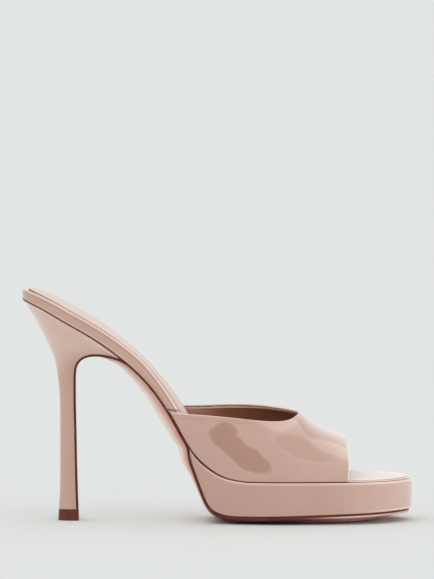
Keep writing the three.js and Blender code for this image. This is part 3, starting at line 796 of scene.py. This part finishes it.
def makeSock():
    station, half = insoleStations(sock["margin"], sock["backMargin"])
    across = acrossColumns(half, sock["edgeRound"])
    distance = planDistance(station, across, half)
    base = insoleTop(station, across) + shoe["seam"]
    full = 1 - sock["backThin"] * np.exp(-station["x"] / shoe["heelRound"])[:, None]
    thick = full * station["sock"][:, None] * sock["thickness"] + shoe["gap"] * 0.5
    rounding = np.minimum(sock["edgeRound"], thick * 0.8)
    over = base + thick - edgeDrop(distance, rounding)
    below, above = sheet(station, across, base), sheet(station, across, over)
    fields = edgeFields(below, above, distance, distance)
    return skin("sock_lining", below, above, [sockFinish], 6, fields)


# Sole line: breast of the heel, waist, rear wall and tread of the platform
heel = {
    "round": 0.0006,  # corners of the breast
    "seamGap": 0.00028,
    "loops": 360,
    "above": 0.008,  # the sides run on this far, to be cut off at the insole
    "aboveLoops": 26,
    "innerRings": (0.985, 0.97, 0.9, 0.75, 0.5, 0.25, 0.1),
}
heelSections = table("front height half back backHeight round", [
    (0.1385, 0, 0.0755, 0.0927, 0, 0.62), (0.1367, 0.106, 0.069, 0.0955, 0.095, 0.62),
    (0.1348, 0.27, 0.0645, 0.0964, 0.237, 0.62), (0.1334, 0.431, 0.0645, 0.0964, 0.38, 0.62),
    (0.1318, 0.596, 0.069, 0.0955, 0.522, 0.62), (0.1317, 0.706, 0.082, 0.0912, 0.615, 0.6),
    (0.1329, 0.762, 0.098, 0.0863, 0.682, 0.58), (0.1382, 0.804, 0.126, 0.0781, 0.734, 0.55),
    (0.1516, 0.848, 0.164, 0.0651, 0.788, 0.52), (0.1698, 0.886, 0.204, 0.0491, 0.846, 0.5),
    (0.1909, 0.918, 0.237, 0.0342, 0.897, 0.48), (0.2157, 0.948, 0.268, 0.0186, 0.943, 0.46),
    (0.2386, 0.974, 0.29, 0.0084, 0.973, 0.45), (0.2476, 0.984, 0.3, 0.0008, 0.994, 0.45),
])
outsole = {
    "thickness": 0.0019,
    "treadLift": 0.0024,
    "toeSpring": 0.0024,
    "belly": 0.005,
    "platformTuck": 0.0005,
    "toeInset": 0.0015,
    "waistStart": 0.2691,
    "waistEnd": 0.4272,
    "waistRows": 14,
    "weights": {"flap": 0.45, "waist": 0.46, "wall": 0.66, "tread": 1.0},
    "edgeRound": 0.00025,
    "step": 0.0008,  # between stations, here and on the platform
    "ease": 0.0021,
    "backEase": 0.0015,
}
platformLine = table("along drop spring belly", [
    (0.4329, 0.813, 0, 0.86), (0.4418, 0.668, 0, 0.58), (0.4511, 0.521, 0, 0.4),
    (0.4605, 0.377, 0, 0.31), (0.4709, 0.23, 0, 0.28), (0.4779, 0.148, 0, 0.3),
    (0.4899, 0.076, 0, 0.4), (0.5103, 0.026, 0, 0.54), (0.5482, 0, 0, 0.64),
    (0.6111, 0, 0.02, 0.66), (0.7141, 0, 0.25, 0.78), (0.817, 0, 0.52, 0.9), (0.92, 0, 0.82, 0.78),
    (0.9714, 0, 0.97, 0.66), (1, 0, 1, 0.6),
])


tipTop = shoe["tipHeight"] + shoe["gap"]


def soleRows():
    length, width, weights = shoe["length"], shoe["ballWidth"], outsole["weights"]

    def rowsAt(along, z, half, belly, weight):
        swing = planLine["swing"](along) * width
        return np.stack([along * length, z, half, swing, belly * outsole["belly"], weight + 0 * along])

    along = heelSections["front"]
    climb = heelSections["height"] * (boardHeight(along) - tipTop)
    half = heelSections["half"] * width
    breast = rowsAt(along, tipTop + climb, half, planLine["belly"](along), weights["flap"])
    along = np.linspace(outsole["waistStart"], outsole["waistEnd"], outsole["waistRows"])
    half = planLine["half"](along) * width - shoe["rim"]
    waist = rowsAt(along, boardHeight(along), half, planLine["belly"](along), weights["waist"])
    along, drop = platformLine["along"], platformLine["drop"]
    vertex = boardHeight(outsole["waistEnd"])
    tread = shoe["gap"] + outsole["thickness"] + outsole["treadLift"]
    z = tread + drop * (vertex - tread) + platformLine["spring"] * outsole["toeSpring"]
    half = planLine["half"](along) * width - outsole["platformTuck"]
    weight = np.where(drop > 0, weights["wall"], weights["tread"])
    return np.concatenate([breast, waist, rowsAt(along, z, half, platformLine["belly"], weight)], axis=1)


rows = soleRows()
lengths = np.concatenate([[0], np.cumsum(np.hypot(np.diff(rows[0]), np.diff(rows[1])))])
soleNames = ("x", "z", "full", "swing", "bulge", "weight")
soleLine = {name: smoothLine(lengths, rows[i], outsole["ease"]) for i, name in enumerate(soleNames)}
breastRows = len(heelSections["front"])
breastEnd = lengths[breastRows - 1]
waistEnd = lengths[breastRows + outsole["waistRows"] - 1]
soleTotal = lengths[-1]
backRows = {
    "x": heelSections["back"] * shoe["length"],
    "z": tipTop + heelSections["backHeight"] * (shoe["seatHeight"] - shoe["tipHeight"] - shoe["gap"]),
    "round": heelSections["round"],
}
breastKeys, backEase = lengths[:breastRows], outsole["backEase"]
backLine = {name: smoothLine(breastKeys, values, backEase) for name, values in backRows.items()}


def soleNormal(place, reach):
    near, far = np.maximum(place - reach, 0), np.minimum(place + reach, soleTotal)
    dx = soleLine["x"](far) - soleLine["x"](near)
    dz = soleLine["z"](far) - soleLine["z"](near)
    size = np.hypot(dx, dz)
    return -dz / size, dx / size


def soleAt(place, inset=0.0):
    station = {name: line(place) for name, line in soleLine.items()}
    toe = roundedEnd(shoe["length"] - inset - station["x"], shoe["toeRound"] - inset)
    station.update(place=place, opening=np.where(place > waistEnd, toe, 1.0))
    station["nx"], station["nz"] = soleNormal(place, 0.0003)
    # the belly's direction is eased more where it rounds the platform's rear corner
    reach = np.interp(np.abs(place - waistEnd), [0.012, 0.045], [0.012, 0.0003])
    station["bellyX"], station["bellyZ"] = soleNormal(place, reach)
    return station


def soleSheet(station, across, lift, bulge):
    points = sheet(station, across, lift)
    points[..., 0] -= station["bellyX"][:, None] * bulge
    points[..., 2] -= station["bellyZ"][:, None] * bulge
    return points


def makeOutsole():
    toeEnd = soleTotal - outsole["toeInset"]
    place = endCrowded(0.0, toeEnd, 0.0, outsole["step"])
    place[-1] = toeEnd
    station = soleAt(place, outsole["toeInset"])
    station["opening"][-1] = 0.0
    half = station["full"] * station["opening"]
    across = acrossColumns(half, outsole["edgeRound"], inner=31, edge=5)
    run = np.stack([place[:, None] + 0 * across, across], axis=-1).reshape(-1, 2)
    right = np.stack([place, half], axis=1)
    border = np.concatenate([right, np.stack([place, -half], axis=1)[::-1], right[:1]])
    distance = distanceTo(run, border).reshape(across.shape)
    drop = edgeDrop(distance, outsole["edgeRound"])
    bulge = sag(station["bulge"][:, None], station["opening"][:, None], shareOf(station, across))
    thick = station["weight"][:, None] * outsole["thickness"]
    over = soleSheet(station, across, -shoe["seam"] - drop, bulge)
    under = soleSheet(station, across, drop - shoe["gap"] - thick, bulge)
    under[..., 2] = np.maximum(under[..., 2], 0)
    fields = edgeFields(under, over, distance, distance)
    return skin("outsole_leather", under, over, [soleFinish, inkAndLightFinish], 5, fields, 1, 4)


# Covered platform between the outsole and the insole
platformCover = {
    "topRound": 0.0007,
    "underRound": 0.0003,
    "thinEdge": 0.0016,  # least height of its drawn-out rear edge
    "crown": 0.00012,
}


def platformSwell(fromTop, fromFoot):
    return crown(platformCover["crown"], fromTop, fromFoot)


def makePlatform():
    place = endCrowded(waistEnd, soleTotal, 0.0, outsole["step"])
    station = soleAt(place)
    station["opening"][-1] = 0.0
    board = boardAt(station["x"])
    keep = board["z"] - station["z"] > platformCover["thinEdge"]
    station = {name: value[keep] for name, value in station.items()}
    board = {name: value[keep] for name, value in board.items()}
    opening = station["opening"][:, None]
    halfUnder = station["full"] * station["opening"]
    halfOver = board["full"] * station["opening"]
    across = acrossColumns(halfUnder, platformCover["underRound"])
    acrossTop = acrossColumns(halfOver, platformCover["topRound"])
    height = (board["z"] - station["z"])[:, None]
    distanceUnder = planDistance(station, across, halfUnder)
    underDrop = edgeDrop(distanceUnder, platformCover["underRound"])
    bulge = sag(station["bulge"][:, None], opening, shareOf(station, across))
    under = soleSheet(station, across, underDrop, bulge)
    rim = {**board, "nx": 0 * board["nx"], "nz": 0 * board["nz"] + 1}
    rounding = np.minimum(platformCover["topRound"], height * 0.3)
    distanceOver = planDistance(rim, acrossTop, halfOver)
    topDrop = edgeDrop(distanceOver, rounding)
    belly = sag(board["belly"][:, None] * outsole["belly"], opening, shareOf(board, acrossTop))
    over = sheet(rim, acrossTop, -(shoe["gap"] + belly) / board["nz"][:, None] - topDrop)
    fields = edgeFields(under, over, distanceUnder, distanceOver)
    return skin("platform_cover", under, over, [platformGloss], 18, fields, swell=platformSwell)


# D-shaped loops of the heel: across the breast, round its corners, down the sides and round the back
def heelLoops(station, back, corner, raised):
    turns = np.linspace(0, math.pi / 2, 6)
    shares = np.sin(np.linspace(-math.pi / 2, math.pi / 2, 21))
    full = station["full"][:, None]
    deep = np.hypot(back["x"] - station["x"], back["z"] - station["z"])[:, None]
    across = shares[None] * (full - corner)
    bulge = sag(station["bulge"][:, None], 1.0, across / full)
    front = np.stack([station["x"][:, None] - station["nx"][:, None] * bulge,
                      station["swing"][:, None] + across,
                      station["z"][:, None] - station["nz"][:, None] * bulge + raised[:, None]], axis=-1)
    roundShare = back["round"][:, None]
    bend = corner * (1 - np.cos(turns))[None, 1:] / deep
    bendWidth = 1 - corner / full * (1 - np.sin(turns))[None, 1:]
    straight = corner / deep + (1 - roundShare - corner / deep) * np.linspace(0, 1, 10)[None, 1:]
    curve = np.linspace(0, math.pi / 2, 25)[None, 1:]
    depth = np.concatenate([bend, straight, 1 - roundShare * (1 - np.sin(curve))], axis=1)
    width = np.concatenate([bendWidth, 0 * straight + 1, np.cos(curve) + 0 * roundShare], axis=1)

    def side(sign):
        x = station["x"][:, None] + (back["x"] - station["x"])[:, None] * depth
        z = station["z"][:, None] + (back["z"] - station["z"])[:, None] * depth + raised[:, None]
        return np.stack([x, station["swing"][:, None] + sign * width * full, z], axis=-1)

    return np.concatenate([front, side(1), side(-1)[:, ::-1][:, 1:]], axis=1)


def boardUnder(x, y, gap):  # height of the insole's underside over a point of the plan
    board = boardAt(np.maximum(x, shoe["endStep"]))
    share = (y - board["swing"]) / np.maximum(board["full"], 1e-6)
    bulge = sag(board["belly"] * insole["belly"], board["opening"], share)
    return board["z"] - (gap + bulge) / board["nz"]


def loftPiece(name, loops, finishes, fields=None):
    count, around = loops.shape[:2]
    faces = ringFaces(count, around).tolist()
    faces.append(list(range(around))[::-1])
    faces.append([(count - 1) * around + k for k in range(around)])
    return meshPiece(name, loops.reshape(-1, 3), faces, finishes, fields=fields)


def makeHeel():
    loopCount, extra = heel["loops"], heel["aboveLoops"]
    place = np.concatenate([np.linspace(0, breastEnd, loopCount), np.full(extra, breastEnd)])
    raised = np.concatenate([np.zeros(loopCount), np.linspace(0, heel["above"], extra + 1)[1:]])
    station = soleAt(place)
    back = {name: line(place) for name, line in backLine.items()}
    corner = np.minimum(heel["round"], station["full"] * 0.2)[:, None]
    loops = heelLoops(station, back, corner, raised)
    middle = loops[-1].mean(0)
    inner = [middle + (loops[-1] - middle) * share for share in heel["innerRings"]]
    rim = len(loops)
    loops = np.concatenate([loops, np.array(inner)])
    gap = np.full((len(loops), 1), heel["seamGap"])
    gap[rim:] = shoe["seam"]
    edge = boardUnder(loops[..., 0], loops[..., 1], gap)
    loops[..., 2] = np.minimum(loops[..., 2], edge)
    seam = (edge - loops[..., 2]) * 1000
    seam[rim:] = 0
    return loftPiece("heel_cover", loops, [heelGloss], {"seam": seam.ravel()})


# Hard tip under the heel
heelTip = {
    "flare": 0.00025,
    "edgeRound": 0.0003,
}


def makeHeelTip():
    turns = np.linspace(0, math.pi / 2, 6)
    radius = heelTip["edgeRound"]
    lower = radius * (1 - np.cos(turns))
    heights = np.concatenate([[0], lower[1:], np.linspace(0.001, shoe["tipHeight"] - 0.001, 12),
                              shoe["tipHeight"] - lower[::-1]])
    insets = radius * (1 - np.sin(np.concatenate([turns, np.full(12, math.pi / 2), turns[::-1]])))
    place = np.zeros(len(heights))
    station = soleAt(place)
    back = {name: line(place) for name, line in backLine.items()}
    flare = heelTip["flare"] * (1 - heights / shoe["tipHeight"]) - insets
    flap = shoe["gap"] + station["weight"] * outsole["thickness"]
    station.update(x=station["x"] + flap + flare, z=heights, full=station["full"] + flare)
    back.update(x=back["x"] - flare, z=heights)
    loops = heelLoops(station, back, np.full((len(heights), 1), heel["round"]), 0 * heights)
    return loftPiece("heel_tip_cap", loops, [tipFinish])


# Upper: one vamp over the last, open at the collar and the toe
upper = {
    "height": 0.0364,
    "fullness": 2.35,
    "shell": 0.0011,  # patent turned in over the edge
    "liningDrop": 0.0012,  # how far the lining's edge lies below the topline
    "footRound": 0.0004,
    "rear": 0.3688,
    "throatRound": 0.0154,
    "strings": 340,
    "rows": 72,
}
ridgeLine = table("along height", [
    (0.3688, 2.263), (0.4984, 1.622), (0.598, 1.219), (0.6678, 1.072), (0.7104, 1), (0.745, 0.84),
    (0.7655, 0.772), (0.7861, 0.721), (0.8057, 0.68), (0.8259, 0.639), (0.8572, 0.553),
])
lateralTopline = table("along height", [
    (0.3688, 1.052), (0.4258, 1.012), (0.4567, 1.002), (0.5339, 0.967), (0.6111, 0.92),
    (0.6479, 0.906), (0.6728, 0.911), (0.6935, 0.94), (0.7104, 1),
])
medialTopline = table("along height", [
    (0.3688, 1.066), (0.4567, 1.072), (0.5339, 1.088), (0.5727, 1.09), (0.6111, 1.083),
    (0.6552, 1.056), (0.6883, 1.027), (0.7104, 1),
])
frontEdge = table("climb along", [
    (0, 0.836), (0.2, 0.8377), (0.47, 0.8388), (0.66, 0.8376), (0.9, 0.8342), (1, 0.8284),
])
ridgeHeight = smoothLine(ridgeLine["along"], ridgeLine["height"], 0.008)
frontAlong = smoothLine(frontEdge["climb"], frontEdge["along"], 0.06)


def heightAt(line, along):
    return shoe["platformHeight"] + line(along) * upper["height"]


# a point on the last's surface, the angle turning from the lateral to the medial seam
def lastPoint(along, angle):
    station = boardAt(along * shoe["length"])
    base = boardHeight(along) - shoe["gap"] + shoe["seam"]
    half = station["full"] * station["opening"] - shoe["rim"]
    power = 2 / upper["fullness"]
    climb = np.abs(np.sin(angle)) ** power
    spread = np.sign(np.cos(angle)) * np.abs(np.cos(angle)) ** power
    z = base + climb * (heightAt(ridgeHeight, along) - base)
    return np.stack([along * shoe["length"], station["swing"] - spread * half, z], axis=-1)


def lastNormal(along, angle):
    step, turn = 0.002, 0.012
    held = np.clip(angle, turn, math.pi - turn)
    lengthwise = lastPoint(along + step, held) - lastPoint(along - step, held)
    crosswise = lastPoint(along, held + turn) - lastPoint(along, held - turn)
    normal = np.cross(lengthwise, crosswise)
    return normal / np.linalg.norm(normal, axis=-1, keepdims=True)


def evenly(line, count):  # positions on a line of domain points, evenly spaced over the surface
    points = lastPoint(*line.T)
    run = np.concatenate([[0], np.cumsum(np.linalg.norm(np.diff(points, axis=0), axis=1))])
    wanted = np.linspace(0, 1, count) * run[-1]
    return np.stack([np.interp(wanted, run, line[:, 0]), np.interp(wanted, run, line[:, 1])], axis=1)


def toplineHalf(heights, medial):  # from the rear corner to the throat
    along = upper["rear"] + (insole["throat"] - upper["rear"]) * np.sin(np.linspace(0, math.pi / 2, 900))
    line = smoothLine(heights["along"], heights["height"], 0.010)
    base = boardHeight(along)
    climb = np.clip((heightAt(line, along) - base) / (heightAt(ridgeHeight, along) - base), 0, 1)
    angle = np.arcsin(climb ** (upper["fullness"] / 2))
    # round into the ridge over the last stretch before the throat
    left = (insole["throat"] - along) / upper["throatRound"]
    start = np.interp(1.0, left[::-1], angle[::-1])
    angle = np.where(left < 1, math.pi / 2 - (math.pi / 2 - start) * np.sqrt(np.maximum(left, 0)), angle)
    return np.stack([along, math.pi - angle if medial else angle], axis=1)


def upperDomain():
    lateral = toplineHalf(lateralTopline, False)
    medial = toplineHalf(medialTopline, True)
    topline = np.concatenate([lateral, medial[::-1][1:]])
    bend = np.linspace(0, math.pi, 700)
    front = np.stack([frontAlong(np.sin(bend) ** (2 / upper["fullness"])), bend], axis=1)
    run = np.linspace(upper["rear"], front[0, 0], 400)
    seam = np.stack([run, 0 * run], axis=1)
    farSeam = np.stack([run[::-1], 0 * run + math.pi], axis=1)
    border = np.concatenate([seam, front[1:], farSeam[1:]])
    return evenly(topline, upper["strings"]), evenly(border, upper["strings"]), topline, front


def makeUpper():
    inside, outside, topline, front = upperDomain()
    shares = 0.5 - 0.5 * np.cos(np.linspace(0, math.pi, upper["rows"]))
    along = inside[:, :1] * (1 - shares) + outside[:, :1] * shares
    angle = inside[:, 1:] * (1 - shares) + outside[:, 1:] * shares
    surface = lastPoint(along, angle)
    normal = lastNormal(along, angle)

    def distanceFrom(line):
        return distanceTo(surface.reshape(-1, 3), lastPoint(*line.T)).reshape(along.shape)

    fromTop, fromFront = distanceFrom(topline[::4]), distanceFrom(front[::3])
    fromFoot = surface[..., 2] - boardHeight(along) + shoe["gap"]
    distance = np.minimum(fromTop, fromFront)
    drop = edgeDrop(distance, upper["shell"] / 2) + edgeDrop(fromFoot, upper["footRound"]) * 0.8
    outer = surface - normal * drop[..., None]
    inner = surface - normal * np.maximum(upper["shell"] - drop, drop + 0.00002)[..., None]
    places = {"fold": fromTop * 1000, "front": fromFront * 1000, "foot": fromFoot * 1000}
    fields = {name: (values, values) for name, values in places.items()}
    fields["inside"] = (np.ones(along.shape), np.zeros(along.shape))
    shell = skin("upper_patent", inner, outer, [vampGloss], 2, fields)
    # lining glued inside, its edge below the topline
    liningDrop = upper["liningDrop"]
    liningRound = (shoe["wall"] - upper["shell"]) / 2
    tuck = edgeDrop(np.maximum(distance - liningDrop, 0), liningRound)
    top = upper["shell"] + shoe["seam"] + tuck
    bottom = np.maximum(shoe["wall"] - tuck, top + 0.00002)
    sink = np.where(distance < liningDrop, upper["shell"] * 0.5, 0)
    below, above = [surface - normal * (depth - sink)[..., None] for depth in (bottom, top)]
    lining = skin("upper_lining", below, above, [insideFinish], 2, {"fold": fields["fold"]})
    return shell, lining


pieces = {
    "insole": (makeInsole(), "patent_band"),
    "sock": (makeSock(), "sock_lining"),
    "outsole": (makeOutsole(), "sole_leather"),
    "platform": (makePlatform(), "patent_platform"),
    "heel": (makeHeel(), "patent_heel"),
    "heel_tip": (makeHeelTip(), "tip_plastic"),
}
shell, insideLayer = makeUpper()
pieces["upper"] = (shell, "patent_vamp")
for node, (piece, slot) in pieces.items():
    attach(piece, "root")
    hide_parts(node)
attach(insideLayer, "root")
print("pieces made")


def addFacing(name, data, place, facing):  # an object that turns its back to a direction
    made = bpy.data.objects.new(name, data)
    made.location = place
    made.rotation_mode = "QUATERNION"
    made.rotation_quaternion = Vector(facing).to_track_quat("Z", "Y")
    bpy.context.scene.collection.objects.link(made)
    return made


# Camera at the photograph's angle
camera = {
    "aim": (-0.0001, 0.0, 0.127),
    "distance": 6.0,
    "elevation": 3.5,
    "metresPerPixel": 0.00055,
    "imageHeight": 579,
    "sensor": 36.0,
}


def makeCamera():
    data = bpy.data.cameras.new("camera")
    data.sensor_width = camera["sensor"]
    pictureHeight = camera["metresPerPixel"] * camera["imageHeight"]
    data.lens = camera["sensor"] * camera["distance"] / pictureHeight
    data.clip_end = 200
    rise = math.radians(camera["elevation"])
    back = Vector((0, -math.cos(rise), math.sin(rise)))
    place = Vector(camera["aim"]) + back * camera["distance"]
    bpy.context.scene.camera = addFacing("camera", data, place, back)


# Pale floor, even light from all round, and two broad, faint suns: overhead, and lower from the front
studio = {
    "floor": (0.816, 0.832, 0.824, 1),
    "fibre": rgb(230, 231, 230),
    "worldColor": (0.985, 1.0, 0.99, 1),
    "worldStrength": 0.86,
    "floorSize": 80,
}
suns = [  # name, direction, strength, spread in degrees
    ("sun_top", (0.05, -0.3, 1.0), 0.12, 70),
    ("sun_front", (0.3, -1.0, 0.5), 0.32, 60),
]


def makeStudio():
    scene = bpy.context.scene
    scene.view_settings.view_transform = "Standard"
    scene.world = bpy.data.worlds.new("studio")
    scene.world.use_nodes = True
    background = scene.world.node_tree.nodes["Background"]
    background.inputs["Color"].default_value = studio["worldColor"]
    background.inputs["Strength"].default_value = studio["worldStrength"]
    mesh = bpy.data.meshes.new("floor")
    reach = studio["floorSize"] / 2
    corners = [(-reach, -reach, 0), (reach, -reach, 0), (reach, reach, 0), (-reach, reach, 0)]
    mesh.from_pydata(corners, [], [(0, 1, 2, 3)])
    finish = Finish("floor_paper")
    pale = finish.mixColors(finish.noise(0.002, 3.0) * 0.1, studio["floor"], studio["fibre"])
    fixed = {"Roughness": 0.9, "Specular IOR Level": 0.1}
    mesh.materials.append(finish.surface(fixed, {"Base Color": pale}))
    floor = bpy.data.objects.new("floor", mesh)
    scene.collection.objects.link(floor)
    for name, toward, strength, spread in suns:
        data = bpy.data.lights.new(name, "SUN")
        data.energy = strength
        data.angle = math.radians(spread)
        addFacing(name, data, (0, 0, 0), toward).visible_glossy = False


# Softboxes that show only as reflections in the gloss
softboxes = [  # name, place, width and height, strength
    ("box_toe", (2.0, -0.6, 1.0), (1.6, 1.6), 1.4),
    ("box_top", (0.4, 0.4, 2.2), (2.0, 2.0), 1.0),
    ("box_back", (0.0, 3.0, 1.4), (8.0, 2.8), 0.1),
]


def makeSoftboxes():
    for name, place, size, strength in softboxes:
        data = bpy.data.lights.new(name, "AREA")
        data.shape = "RECTANGLE"
        data.size, data.size_y = size
        data.energy = strength * size[0] * size[1] * math.pi
        box = addFacing(name, data, place, Vector(place) - Vector((0, 0, 0.05)))
        box.visible_camera = False
        box.visible_diffuse = False


makeCamera()
makeStudio()
makeSoftboxes()
print("camera, light and floor made")
